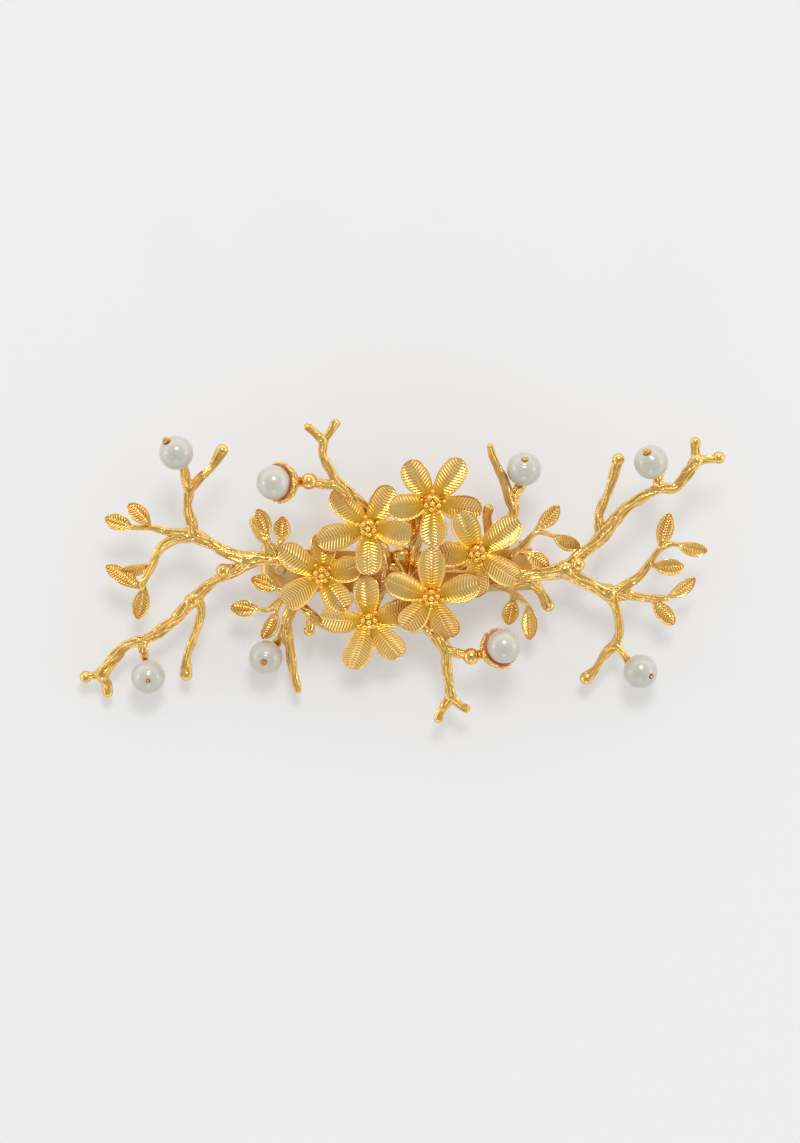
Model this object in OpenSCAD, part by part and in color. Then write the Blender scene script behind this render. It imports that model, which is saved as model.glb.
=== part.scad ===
// Floral pearl barrette on a sprung metal clip.
// X runs along the clip from the catch (-X) to the hinge (+X), Y runs across it and
// Z points out of the ornamental face. The origin is in the middle of the base: the
// plane z = 0 is the surface that the closed clip rests on.

/* [Clip plate] */
// Distance from the middle of the plate to its hinge end
plate_hinge_end = 27.5; // [27:0.5:28]
// Distance from the middle of the plate to its catch end
plate_catch_end = 27.5; // [27.5:0.5:28]
// Width of the plate
plate_w = 9; // [9:0.2:10]
// Thickness of the plate and of its ears
plate_t = 0.6; // [0.5:0.1:0.7]
// Radius to which the plate's underside is bowed
plate_r = 120; // [115:1:130]
// Height of the middle of the plate's underside
plate_crown = 10.8; // [10.6:0.1:11.2]

/* [Arm and hinge] */
// Width of the arm over its ears
arm_w = 7; // [6.6:0.2:7.2]
// Thickness of the arm
arm_t = 0.8; // [0.6:0.1:0.9]
// Height of the arm's bow above its two ends
arm_rise = 2.2; // [1.8:0.1:2.4]
// Radius of the hinge pin
pin_r = 0.6; // [0.5:0.05:0.7]
// Running clearance of the hinge pin and of the tension bar's trunnions
run_gap = 0.05; // [0.02:0.01:0.08]

/* [Tension bar] */
// Width of the tension bar
bar_w = 5; // [4:0.5:6]
// Thickness of the tension bar
bar_t = 0.35; // [0.3:0.05:0.5]
// Radius to which the tension bar is bowed
bar_r = 100; // [95:1:110]

/* [Catch] */
// Width of each catch tab along the clip
tab_w = 2.6; // [2.2:0.2:3]
// Thickness of each catch tab's leg
tab_t = 0.4; // [0.3:0.1:0.5]

/* [Ornament] */
// Diameter of the pearls
pearl_d = 7.3; // [7:0.1:7.5]
// Radius of the pins that hold the pearls
pearl_pin_r = 0.45; // [0.35:0.05:0.5]
// Width of a leaf
leaf_w = 3.3; // [2.8:0.1:3.5]
// Width of a flower petal
petal_w = 5.6; // [5:0.1:5.8]
// Radius of one of the beads in a flower's middle
bead_r = 0.52; // [0.45:0.01:0.6]

/* [Hidden] */
$fn = 64;
// Facets round a cast twig, a leaf and a petal
twig_fn = 7;
leaf_fn = 8;
petal_fn = 12;

// The clip sits this far across from the middle of the spray
clip_y = -1.3;
// Hinge pin and tension bar trunnion centres, as [x, z]
pin_at = [25.9, 1.75];
bar_at = [24.7, 5];
bar_tip = [-21.5, 6.2];
ear_out = plate_w / 2;
ear_in = plate_w / 2 - plate_t;

// The arm's flat pad starts at pad_x and its bow ends at bow_x
pad_x = 21.5;
bow_x = -21.5;
// The raised frame round the catch window
frame_z = 1.5;
frame_end = -28.2;
window = [[-27.8, -2.4], [-23.4, 2.4]];
lip_r = 2;

// Catch tabs turn about axes that run along X at y = +-tab_y, z = tab_z
tab_x = -25.7;
tab_y = 1.5;
tab_z = 6.2;
tab_pivot_r = 0.45;
rivet_r = 0.7;

pearl_r = pearl_d / 2;

// Pearls 1 to 8: centre, and the direction in which the pin comes out
PEARLS = [
  [[-47.5, 25.2, 15], [-0.54, 0.75, 0.38]],
  [[-27, 19.5, 18.5], [-0.95, 0, 0.3]],
  [[25.75, 20.9, 11], [0.05, 0.73, 0.68]],
  [[52.5, 22.8, 13], [-0.29, 0.71, 0.64]],
  [[50.7, -22.7, 12], [0.62, -0.13, 0.77]],
  [[21.5, -15.9, 18], [0.92, 0.27, 0.27]],
  [[-29, -20, 10.5], [-0.09, -0.07, 0.99]],
  [[-54, -23.9, 12], [0.04, -0.03, 1]],
];
// The pearls whose pin comes out at the far side
PINNED = [1, 3, 4, 5, 7, 8];

// Flowers 1 to 6: centre, then each petal's direction in degrees, its reach and its drop
FLOWERS = [
  [[-17, -1, 15.5], [[86, 8.7, 3], [13, 8.5, 1.5], [303, 9.4, 0.5], [220, 10.7, 3.5],
    [149, 10.2, 3]]],
  [[-7.2, 9.4, 16.5], [[134, 10.4, 3.5], [59, 9.6, 3], [350, 9.5, 0.5], [271, 10.1, -0.5],
    [197, 11.3, 2]]],
  [[6.4, 14.7, 16], [[122, 9.9, 2.5], [55, 10.8, 2.5], [348, 10.6, 2], [273, 9.2, -1],
    [187, 9.2, -0.5]]],
  [[15.9, 3.9, 16], [[114, 10, -1], [36, 10.8, 3], [323, 11, 3.5], [266, 10.2, 3],
    [182, 8.5, 0.5]]],
  [[6.2, -5.5, 17], [[90, 11, -0.5], [16, 10.6, 1.5], [295, 10.4, 3.5], [230, 9.2, 1.5],
    [157, 10.4, 0.5]]],
  [[-7, -10.9, 16], [[94, 9.5, 1.5], [17, 9.8, 2], [309, 10.8, 4], [251, 11.8, 4.5],
    [179, 10.2, 3.5]]],
];

// Cast twigs as points [x, y, z, radius], and leaves as [base, tip, roll]
LEFT_TWIGS = [
  // root on the plate, out to the fork
  [[-21.5, 1, 10, 1], [-24.5, 1.7, 11.4, 1.2], [-28, 2, 12.3, 1.3], [-33, 1.5, 12.5, 1.7]],
  // upper arm of the fork
  [[-33, 1.5, 12.5, 1.7], [-36.5, 3, 12.5, 1.2], [-40.5, 5, 12, 1.1], [-44, 7, 12, 1.4],
    [-44.5, 9.5, 12.2, 1.1], [-45.3, 13, 12.4, 0.95], [-45, 16.5, 12.5, 0.95]],
  [[-45, 16.5, 12.5, 1], [-42, 19.8, 12, 0.85], [-40, 21.6, 11.3, 0.8], [-38, 24.8, 10.2, 1.2]],
  [[-45, 16.5, 12.5, 0.95], [-45.7, 20, 13.2, 0.95], [-46.1, 22.3, 13.8, 0.9]],
  [[-44, 7, 12, 1.3], [-49.5, 7.5, 11.5, 0.8], [-53, 8.2, 11, 0.6], [-57.3, 8.2, 10.5, 0.45]],
  [[-44, 7, 12, 1.3], [-49, 5.5, 11.6, 1], [-51.7, 3, 11.2, 0.9], [-53.2, -0.5, 10.8, 0.75],
    [-54.9, -3.6, 10.4, 0.75], [-55.2, -5, 10.2, 0.6]],
  // lower arm of the fork, with its round bump
  [[-33, 1.5, 12.5, 1.7], [-35, -0.7, 12.5, 1.2], [-38, -2, 12.3, 1], [-40.7, -3.7, 12, 1],
    [-44.7, -7.5, 11.5, 1.4]],
  [[-35.5, -0.5, 12.6, 1], [-37.9, -0.5, 13.3, 1.35]],
  [[-44.7, -7.5, 11.5, 1.4], [-47.8, -11, 11.3, 1.15], [-50.8, -13.7, 11, 1.15],
    [-53.7, -15.6, 11, 1.05], [-58, -17, 10.6, 0.95], [-60.6, -19.4, 10.2, 1.2],
    [-64, -24, 9.5, 1.3]],
  [[-64, -24, 9.5, 1.1], [-66, -24.3, 9.3, 0.75], [-67.4, -24.6, 9.1, 1.2]],
  [[-64, -24, 9.5, 1.1], [-63, -26.2, 9.2, 1], [-62.8, -28, 9, 1.05]],
  [[-55, -16.3, 11, 1], [-55, -19, 10.3, 1.05], [-54.4, -22.3, 9, 0.8]],
  [[-43.8, -6, 11.6, 1.1], [-42.6, -10, 11.2, 0.9], [-44.3, -15.7, 10.3, 0.8],
    [-45.8, -20, 9.8, 0.85], [-46, -24, 9.5, 1.2]],
];
LEFT_LEAVES = [
  [[-57, 8.2, 10.5], [-63, 10, 9.5], 20],
  [[-53.2, 8.8, 11], [-58, 13.2, 10], 20],
  [[-53.5, 0, 10.8], [-59.7, -1.3, 9.5], -35],
  [[-55.5, -5, 10.2], [-63, -0.4, 9], 25],
  [[-54.5, -4.5, 10.3], [-56.3, -12, 9], 0],
];
RIGHT_TWIGS = [
  [[20.5, -1, 10.2, 1], [23, -1.5, 11.4, 1.2], [26.5, -2, 12.2, 1.3], [31, -1.2, 12.5, 1.3],
    [34.5, -0.5, 12.5, 1.8]],
  [[34.5, -0.5, 12.5, 1.7], [36.7, 1.8, 12.5, 1.3], [39.5, 4, 12.3, 1.05], [42.4, 6.8, 12, 1.4],
    [46.8, 12.2, 12, 1.1], [50.3, 14.8, 12, 1.05], [54.4, 16.9, 11.8, 1], [57.6, 17, 11.5, 1],
    [60, 19.6, 11, 1.1], [62.2, 22.7, 10.5, 1.3]],
  [[36.3, 1.2, 12.7, 1], [37.3, 0.8, 13.3, 1.3]],
  [[62.2, 22.7, 10.5, 1.1], [62, 24.8, 10.2, 0.9], [61.9, 26.5, 10, 1]],
  [[62.2, 22.7, 10.5, 1.1], [65, 22.9, 10.3, 0.75], [66.9, 23.2, 10.1, 1.2]],
  [[42.2, 6.8, 12, 1.2], [41.6, 10, 11.9, 0.95], [42, 12.5, 11.7, 0.9],
    [43.8, 16.5, 11.3, 0.8], [45.7, 22.9, 10.5, 1.2]],
  [[54.2, 16.8, 11.8, 0.95], [54.1, 18.4, 11.2, 1], [54, 19.8, 10.7, 1.2]],
  [[34.5, -0.5, 12.5, 1.7], [39.5, -3.6, 12.3, 1.2], [43.8, -5.6, 12, 1.6]],
  [[43.8, -5.6, 12, 1.4], [46.5, -4.7, 11.9, 1.05], [50.3, -2.1, 11.6, 0.9],
    [52.6, 0.8, 11.3, 0.7], [54.4, 3.4, 11.1, 0.65], [56.7, 4.6, 10.8, 0.55],
    [58.5, 4.5, 10.6, 0.45]],
  [[43.8, -5.6, 12, 1.4], [49.8, -6.5, 11.6, 0.85], [53, -7, 11.2, 0.8], [56.3, -7, 10.7, 0.6]],
  [[43.8, -5.6, 12, 1.5], [45.2, -8.2, 11.9, 1], [46, -11.6, 11.6, 0.9],
    [46.1, -14.8, 11.3, 0.9], [45.1, -17.2, 11, 1]],
  [[45.1, -17.2, 11, 1], [43, -19.5, 10.6, 0.9], [41.2, -22.5, 10.2, 0.8],
    [39.3, -24.7, 9.8, 1.3]],
  [[45.1, -17.2, 11, 0.95], [46.6, -18.8, 10.6, 0.8], [48.3, -21.2, 9.8, 0.9]],
];
RIGHT_LEAVES = [
  [[54.6, 4, 11], [56.7, 11.3, 10], 0],
  [[58.3, 4.5, 10.6], [64.8, 2.9, 9.5], 20],
  [[53, 0.1, 11.2], [59.9, -0.4, 10.2], 0],
  [[56.5, -6.9, 10.7], [62.3, -2.8, 9.6], 25],
  [[53.2, -7.3, 11], [57.9, -13, 9.8], 0],
];
// Distance of each bud's cup rim behind the pearl's centre, and the way each cup faces
cup_drop = 2.3;
TOP_CUP_AXIS = [-0.68, 0.15, 0.71];
BOTTOM_CUP_AXIS = [0.49, 0.43, 0.76];
TOP_BUD_TWIGS = [
  [[-6, 8, 14.8, 0.9], [-6.7, 11.5, 13.9, 1.1], [-10.6, 16, 14.6, 1.2],
    [-13.4, 18.4, 14.7, 1.1], [-15.1, 21.3, 14.5, 0.9], [-16.6, 24.4, 14.3, 0.9],
    [-16.6, 27.6, 14.2, 0.95]],
  [[-16.6, 27.6, 14.2, 0.9], [-18.3, 29.2, 14.1, 0.85], [-19.8, 30.5, 14, 0.9]],
  [[-16.6, 27.6, 14.2, 0.9], [-15.2, 29.3, 14.1, 0.8], [-14, 31.4, 14, 0.9]],
  [[-13.4, 18.4, 14.7, 1], [-16, 18.4, 15.2, 0.95], [-18, 18.9, 15.7, 0.9]],
  // knuckle and neck behind the cup
  [[-19.3, 19.3, 16, 1.5], [-19.6, 19.3, 16, 1.5]],
  [[-19.4, 19.3, 16, 0.9], [-22.3, 18.9, 15.1, 0.9]],
];
BOTTOM_BUD_TWIGS = [
  [[5.4, -4.5, 15, 0.9], [4.2, -8.7, 13.9, 1.1], [4.7, -11.8, 14.1, 1.2],
    [7.2, -14.6, 14.5, 1.2], [9.2, -17.4, 14.7, 1.2], [9.4, -20.7, 14.6, 1],
    [10.4, -27.7, 14.2, 1]],
  [[10.4, -27.7, 14.2, 0.95], [8.6, -30.5, 14.1, 0.9], [7.8, -32.6, 14, 0.95]],
  [[10.4, -27.7, 14.2, 0.95], [12.2, -29.6, 14.1, 0.85], [13.6, -30.4, 14, 0.95]],
  [[7.8, -15.3, 14.6, 1], [10.5, -17.6, 15.1, 0.95], [13, -18.2, 15.7, 0.9]],
  // knuckle and neck behind the cup
  [[14.3, -18.5, 16, 1.5], [14.6, -18.5, 16, 1.5]],
  [[14.5, -18.5, 16, 0.9], [17.6, -18.1, 15.6, 0.9]],
];
TOP_TWIGS = [
  [[15, 2, 12.5, 0.9], [18.5, 4, 11.6, 1], [21.5, 7, 11.3, 1.05], [23.6, 11.9, 11.4, 1.05],
    [22.5, 15.4, 11.5, 1.1], [21.2, 19.2, 11.3, 0.9], [19.4, 23, 11, 0.8],
    [18.6, 25.8, 10.8, 0.65]],
  [[23, 13.5, 11.4, 1], [24.3, 16, 10.3, 1], [25.4, 17.7, 9.3, 1.15]],
  [[19, 4.5, 11.5, 0.9], [18.2, 9, 11.6, 1], [18, 11, 11.8, 0.9], [18.3, 12.7, 12, 0.95]],
];
BOTTOM_TWIGS = [
  [[-16.3, -1.5, 12.2, 0.9], [-19, -4.5, 11.2, 1], [-21.5, -7, 10.9, 1.05],
    [-23.8, -10.2, 11, 1.1], [-24.6, -14, 10.8, 1.15], [-23.8, -18, 10.5, 0.95],
    [-23.2, -23, 10.2, 0.9], [-22.2, -27.3, 10, 0.75]],
  [[-24.6, -13.5, 10.7, 1], [-26, -16.5, 8.8, 0.95], [-28.2, -19.2, 7, 0.8]],
  [[-22, -8, 10.9, 0.9], [-19, -10.7, 11.5, 0.9], [-17.2, -12.4, 11.5, 0.9],
    [-15.1, -13.5, 11.4, 0.7]],
  [[-19.2, -10.8, 11.5, 0.8], [-19.7, -13.9, 12, 1.05]],
];
LEFT_UPPER_TWIGS = [
  [[-26.5, 2, 12.3, 1], [-28, 4, 12.6, 0.95], [-28.6, 5.5, 12.5, 0.9], [-30, 7, 12, 0.95],
    [-31.1, 9.6, 11.5, 1.1]],
  [[-28, 3.6, 12.6, 0.8], [-26.8, 4.6, 12.7, 0.65], [-25.5, 5.6, 12.6, 0.5]],
  [[-28.2, 4.5, 12.6, 0.7], [-28.4, 6, 12.5, 0.6], [-28.5, 6.8, 12.4, 0.5]],
];
LEFT_UPPER_LEAVES = [
  [[-28.4, 6.4, 12.4], [-30.6, 12.5, 11.8], 15],
  [[-25.4, 5.4, 12.6], [-25.3, 11, 12.2], 0],
];
LEFT_LOWER_TWIGS = [
  [[-21, -6.2, 10.9, 0.8], [-23.8, -5.8, 11.2, 0.85], [-26, -7.5, 11.3, 0.8],
    [-28.3, -9.4, 11, 0.6], [-30.2, -9.6, 10.7, 0.45]],
  [[-26, -7.5, 11.3, 0.65], [-26.5, -8.8, 11.1, 0.55], [-26.7, -10, 11, 0.45]],
  [[-23.8, -5.8, 11.2, 0.7], [-25, -5.4, 11.4, 0.55], [-26.2, -4.9, 11.4, 0.45]],
];
LEFT_LOWER_LEAVES = [
  [[-26, -5, 11.4], [-32, -2.8, 10.5], 20],
  [[-30.2, -9.6, 10.7], [-36.5, -9.4, 9.5], 20],
  [[-26.7, -9.8, 11], [-29.5, -16.2, 9.6], -20],
];
RIGHT_UPPER_TWIGS = [
  [[22.3, -0.6, 11.4, 0.9], [23.8, 2.9, 12, 0.85], [25.7, 4.7, 12.3, 0.75],
    [28, 7.3, 12.4, 0.6], [30, 7.4, 12.2, 0.5], [32, 6.7, 11.8, 0.45]],
  [[27.8, 7, 12.4, 0.6], [28.4, 8, 12.3, 0.5], [28.8, 8.8, 12.2, 0.45]],
  [[24.3, 3.4, 12.1, 0.7], [25.2, 3.6, 12.3, 0.6], [26.3, 3.1, 12.4, 0.5]],
];
RIGHT_UPPER_LEAVES = [
  [[28.5, 8.2, 12.3], [33.2, 13.2, 11.4], 15],
  [[32, 6.7, 11.8], [37.7, 3.9, 10.8], 15],
  [[26.2, 3.2, 12.5], [31, -0.2, 11.9], -15],
];
RIGHT_LOWER_TWIGS = [
  [[20, -1.8, 10.6, 0.9], [19.8, -3.9, 11.2, 0.9], [22.5, -5, 11.3, 0.8],
    [24.6, -6.7, 11.2, 0.6], [26.6, -8.3, 11, 0.45]],
  [[21.5, -4.5, 11.3, 0.8], [24.5, -3.6, 11.6, 0.9], [27.2, -3, 11.8, 1.2],
    [29.2, -5.3, 11.4, 0.95], [31.1, -8.7, 11, 1.1]],
  [[23, -5.4, 11.2, 0.6], [23.6, -7, 11, 0.5]],
];
RIGHT_LOWER_LEAVES = [
  [[23.7, -6.8, 11], [22.5, -13, 10], 0],
  [[26.7, -8.3, 11], [27.2, -16.4, 9.8], -15],
];
STEM_TWIGS = [
  // spine soldered along the plate
  [[-20, -0.5, 10.6, 1.1], [-12, 0.5, 11.7, 1.2], [0, 0.5, 12.2, 1.3], [12, 0, 11.7, 1.2],
    [20, 0.5, 10.6, 1.1]],
  // one post for each flower
  [[-16, 0, 11.2, 1], [-17, -1, 14.6, 0.9]],
  [[-3.4, -0.5, 12.6, 1], [-3.2, 2.2, 13.4, 1], [-4.4, 5.5, 14.4, 1.1], [-7.1, 9.2, 15.6, 1]],
  [[1.1, 13, 12.8, 1.05], [1.2, 10, 13.2, 1.2], [1.9, 7, 13.7, 1.15], [2.7, 4, 14.2, 0.9]],
  [[3.4, 13.4, 12.8, 1.05], [3.4, 10, 13.3, 1.15], [3.3, 7, 14, 1.1], [2.7, 4, 14.4, 0.9]],
  [[1.3, -2.3, 12.4, 0.9], [2, 0.5, 14, 0.9], [2.7, 4, 14.8, 0.9], [4.1, 8.2, 14.7, 1],
    [6.3, 14.2, 15.1, 0.9]],
  [[13, 0.5, 11.7, 1], [15.7, 3.7, 15.1, 0.9]],
  [[4, 0, 12.2, 1], [6.1, -5.2, 16.1, 0.9]],
  [[-3.4, -0.5, 12.6, 1], [-3.8, -3.2, 13, 1], [-5, -6.6, 13.8, 0.9], [-7, -10.6, 15.1, 0.9]],
];

// ---------------------------------------------------------------- clip

// Height of the plate's underside at x
function under_plate(x) = plate_crown - plate_r + sqrt(plate_r * plate_r - x * x);

// A strip bent about an axis along Y through [x, z] = c, its inner face at radius r,
// from angle a to angle b, measured from +X towards +Z
module bent_strip(c, r, t, w, a, b) {
  translate([c[0], 0, c[1]])
    rotate([90, 0, 0])
      rotate([0, 0, a])
        rotate_extrude(angle = b - a, $fn = 180)
          translate([r, -w / 2])
            square([t, w]);
}

// Children placed on the plate's underside at x, with +Z along its outward normal
module on_plate(x) {
  translate([0, 0, plate_crown - plate_r])
    rotate([0, asin(x / plate_r), 0])
      translate([0, 0, plate_r])
        children();
}

module across(x, z, r, length) {
  translate([x, 0, z])
    rotate([90, 0, 0])
      cylinder(r = r, h = length, center = true);
}

module clip_place() {
  translate([0, clip_y, 0])
    children();
}

module ear_outline() {
  polygon([
    [pin_at[0] - 1.5, 0], [pin_at[0] + 1.1, 0], [plate_hinge_end, 0.6],
    [plate_hinge_end, under_plate(plate_hinge_end) + plate_t / 2],
    [22.5, under_plate(22.5) + plate_t / 2], [23.1, 4.4],
  ]);
}

module clip_plate() {
  color("goldenrod")
    difference() {
      union() {
        bent_strip([0, plate_crown - plate_r], plate_r, plate_t, plate_w,
          90 - asin(plate_hinge_end / plate_r), 90 + asin(plate_catch_end / plate_r));
        for (side = [-1, 1])
          translate([0, side * (ear_in + ear_out) / 2, 0])
            rotate([90, 0, 0])
              linear_extrude(plate_t, center = true)
                ear_outline();
      }
      across(pin_at[0], pin_at[1], pin_r, plate_w + 1);
      across(bar_at[0], bar_at[1], tab_pivot_r + run_gap, plate_w + 1);
      on_plate(tab_x)
        translate([0, 0, -1])
          cylinder(r = rivet_r, h = 3);
      for (side = [-1, 1])
        translate([-plate_catch_end - 0.5, side * (plate_w / 2 + 0.5), 5])
          rotate([0, 0, 45])
            cube([3, 3, 12], center = true);
    }
}

module hinge_pin() {
  color("goldenrod") {
    across(pin_at[0], pin_at[1], pin_r, plate_w);
    for (side = [-1, 1])
      translate([pin_at[0], side * (plate_w / 2 + 0.2), pin_at[1]])
        rotate([90, 0, 0])
          cylinder(r = pin_r + 0.35, h = 0.4, center = true);
  }
}

// A finished arm: hinge pad and ears, bowed strip, raised window frame and rolled lip
module clip_arm() {
  half = (pad_x - bow_x) / 2;
  r = (half * half + arm_rise * arm_rise) / (2 * arm_rise);
  a = asin(half / r);
  color("goldenrod")
    difference() {
      union() {
        bent_strip([(pad_x + bow_x) / 2, arm_rise + 0.1 - r], r, arm_t, arm_w - 1.2, 90 - a, 90 + a);
        translate([pad_x, -arm_w / 2, 0])
          cube([5.4, arm_w, arm_t]);
        for (side = [-1, 1])
          translate([0, side * (arm_w - plate_t) / 2, 0])
            rotate([90, 0, 0])
              linear_extrude(plate_t, center = true)
                polygon([[24.1, 0], [26.9, 0], [27.1, 1.75], [26.7, 2.9], [25.2, 2.9]]);
        translate([bow_x - 1.1, -(arm_w - 1.2) / 2, 0])
          cube([1.4, arm_w - 1.2, frame_z + arm_t]);
        translate([frame_end, -arm_w / 2, frame_z])
          cube([bow_x - frame_end, arm_w, arm_t]);
        bent_strip([frame_end, frame_z + arm_t - lip_r], lip_r - arm_t, arm_t, arm_w, 90, 180);
        translate([frame_end - lip_r, -arm_w / 2, 0])
          cube([arm_t, arm_w, frame_z + arm_t - lip_r]);
      }
      across(pin_at[0], pin_at[1], pin_r + run_gap, arm_w + 1);
      translate([window[0][0], window[0][1], frame_z - 1])
        cube([window[1][0] - window[0][0], window[1][1] - window[0][1], 3]);
    }
}

// Centre [x, z] of the tension bar's bow, through its trunnion and its free tip
bar_mid = (bar_at + bar_tip) / 2;
bar_half = norm(bar_at - bar_tip) / 2;
bar_normal = [bar_tip[1] - bar_at[1], bar_at[0] - bar_tip[0]] / (2 * bar_half);
bar_centre = bar_mid - bar_normal * sqrt(bar_r * bar_r - bar_half * bar_half);

module tension_bar() {
  start = atan2(bar_at[1] - bar_centre[1], bar_at[0] - bar_centre[0]);
  stop = atan2(bar_tip[1] - bar_centre[1], bar_tip[0] - bar_centre[0]);
  color("darkgoldenrod") {
    bent_strip(bar_centre, bar_r, bar_t, bar_w, start, stop);
    across(bar_at[0], bar_at[1], tab_pivot_r, plate_w - 0.1);
  }
}

module catch_base() {
  color("goldenrod")
    difference() {
      union() {
        translate([tab_x - 1.6, -2.4, tab_z + 0.3])
          cube([3.2, 4.8, 3]);
        for (side = [-1, 1])
          translate([tab_x, side * tab_y, tab_z])
            rotate([0, 90, 0])
              cylinder(r = 0.85, h = 3.2, center = true);
      }
      bent_strip([0, plate_crown - plate_r], plate_r - 0.01, 5, plate_w, 90, 110);
      for (side = [-1, 1]) {
        translate([tab_x, side * tab_y, tab_z])
          rotate([0, 90, 0])
            cylinder(r = tab_pivot_r + run_gap, h = 4, center = true);
        translate([tab_x, side * tab_y, tab_z - 1])
          cube([4, 0.9, 2], center = true);
      }
      on_plate(tab_x)
        translate([0, 0, -1])
          cylinder(r = rivet_r, h = 3);
    }
}

module catch_rivet() {
  color("gold")
    on_plate(tab_x) {
      translate([0, 0, -0.9])
        cylinder(r = rivet_r, h = plate_t + 0.9);
      translate([0, 0, plate_t + 0.01])
        cylinder(r1 = 1.3, r2 = 0.9, h = 0.4);
    }
}

// One catch tab on the +Y side: a round pivot bead, a leg and an outward barb
module catch_tab() {
  translate([tab_x, tab_y, tab_z])
    rotate([0, 90, 0])
      cylinder(r = tab_pivot_r, h = tab_w, center = true);
  translate([tab_x, tab_y, 0])
    rotate([90, 0, 90])
      linear_extrude(tab_w, center = true)
        polygon([
          [-tab_t / 2, tab_z], [-tab_t / 2, 0.3], [0.35, 0.3], [0.75, 1.1],
          [tab_t / 2, 1.35], [tab_t / 2, tab_z],
        ]);
}

module catch_tab_back() {
  color("gold")
    catch_tab();
}

module catch_tab_front() {
  color("gold")
    mirror([0, 1, 0])
      catch_tab();
}

// ---------------------------------------------------------------- cast twigs and leaves

// A cast twig through points [x, y, z, radius]
module twig(points) {
  for (i = [0 : len(points) - 2])
    hull()
      for (p = [points[i], points[i + 1]])
        translate([p[0], p[1], p[2]])
          sphere(r = p[3], $fn = twig_fn);
}

// A leaf blade from its base point to its tip, turned about its own length by roll degrees
module leaf(base, tip, roll = 0) {
  run = tip - base;
  size = norm(run);
  translate(base)
    rotate([0, -asin(run[2] / size), atan2(run[1], run[0])])
      rotate([roll, 0, 0])
        hull() {
          translate([0.3, 0, 0])
            sphere(r = 0.4, $fn = leaf_fn);
          translate([size * 0.52, 0, -0.1])
            scale([size * 0.2, leaf_w / 2, 0.5])
              sphere(r = 1, $fn = leaf_fn);
          translate([size - 0.4, 0, 0])
            sphere(r = 0.4, $fn = leaf_fn);
        }
}

// All the twigs and leaves of one casting
module casting(twigs, leaves = []) {
  for (t = twigs)
    twig(t);
  for (b = leaves)
    leaf(b[0], b[1], b[2]);
}

module left_branch() {
  color("gold")
    casting(LEFT_TWIGS, LEFT_LEAVES);
}

module right_branch() {
  color("gold")
    casting(RIGHT_TWIGS, RIGHT_LEAVES);
}

module top_bud_branch() {
  color("gold")
    casting(TOP_BUD_TWIGS);
}

module bottom_bud_branch() {
  color("gold")
    casting(BOTTOM_BUD_TWIGS);
}

module top_twig() {
  color("gold")
    casting(TOP_TWIGS);
}

module bottom_twig() {
  color("gold")
    casting(BOTTOM_TWIGS);
}

module left_upper_sprig() {
  color("gold")
    casting(LEFT_UPPER_TWIGS, LEFT_UPPER_LEAVES);
}

module left_lower_sprig() {
  color("gold")
    casting(LEFT_LOWER_TWIGS, LEFT_LOWER_LEAVES);
}

module right_upper_sprig() {
  color("gold")
    casting(RIGHT_UPPER_TWIGS, RIGHT_UPPER_LEAVES);
}

module right_lower_sprig() {
  color("gold")
    casting(RIGHT_LOWER_TWIGS, RIGHT_LOWER_LEAVES);
}

module centre_stem() {
  color("gold")
    casting(STEM_TWIGS);
}

// A smooth closed bud on a short stem in the middle of the spray
module centre_bud() {
  color("gold") {
    hull() {
      translate([0, 3, 13.5])
        sphere(r = 1.8, $fn = 20);
      translate([0.3, 0.2, 13.2])
        sphere(r = 1.1, $fn = 20);
    }
    translate([0, 1.5, 12])
      cylinder(r = 0.7, h = 1.2);
  }
}

// ---------------------------------------------------------------- buds and pearls

// Children moved to p with their +Z turned to direction d
module aim(p, d) {
  translate(p)
    rotate([0, acos(d[2] / norm(d)), atan2(d[1], d[0])])
      children();
}

// A shallow round cup, its rim level with z = 0 and a post in it for the pearl
module bud_cup(pearl, axis) {
  post_top = cup_drop - sqrt(pearl_r * pearl_r - 0.64) - 0.02;
  color("gold")
    aim(pearl, axis)
      translate([0, 0, -cup_drop])
        rotate_extrude($fn = 48)
          polygon(concat(
            [for (k = [0 : 6]) [4.5 * cos(-10 - 80 * k / 6), 0.8 + 4.5 * sin(-10 - 80 * k / 6)]],
            [[0, post_top], [0.8, post_top]],
            [for (k = [6 : -1 : 0]) [4.1 * cos(-14 - 64.7 * k / 6), 1 + 4.1 * sin(-14 - 64.7 * k / 6)]]
          ));
}

module top_bud_cup() {
  bud_cup(PEARLS[1][0], TOP_CUP_AXIS);
}

module bottom_bud_cup() {
  bud_cup(PEARLS[5][0], BOTTOM_CUP_AXIS);
}

module pearl(n) {
  color("ivory")
    aim(PEARLS[n - 1][0], PEARLS[n - 1][1])
      difference() {
        sphere(r = pearl_r);
        if (len(search(n, PINNED)) > 0)
          cylinder(r = pearl_pin_r + 0.02, h = pearl_d + 1, center = true);
      }
}

module pearl_pins() {
  color("goldenrod")
    for (n = PINNED)
      aim(PEARLS[n - 1][0], PEARLS[n - 1][1])
        translate([0, 0, -pearl_r - 0.3])
          cylinder(r = pearl_pin_r, h = pearl_d + 0.7);
}

// ---------------------------------------------------------------- flowers

// One petal along +X from a flower's middle, arched and falling by drop over its reach
module petal(reach, drop) {
  size = norm([reach, drop]);
  rotate([0, atan2(drop, reach), 0]) {
    hull() {
      translate([1.2, 0, -0.4])
        scale([1, 1, 0.5])
          sphere(r = 1, $fn = petal_fn);
      petal_middle(size);
    }
    hull() {
      petal_middle(size);
      translate([size - 1.5, 0, 0])
        scale([1.5, 1.6, 0.35])
          sphere(r = 1, $fn = petal_fn);
    }
  }
}

module petal_middle(size) {
  translate([size * 0.6, 0, 0.35])
    scale([1.4, petal_w / 2, 0.45])
      sphere(r = 1, $fn = petal_fn);
}

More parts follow.
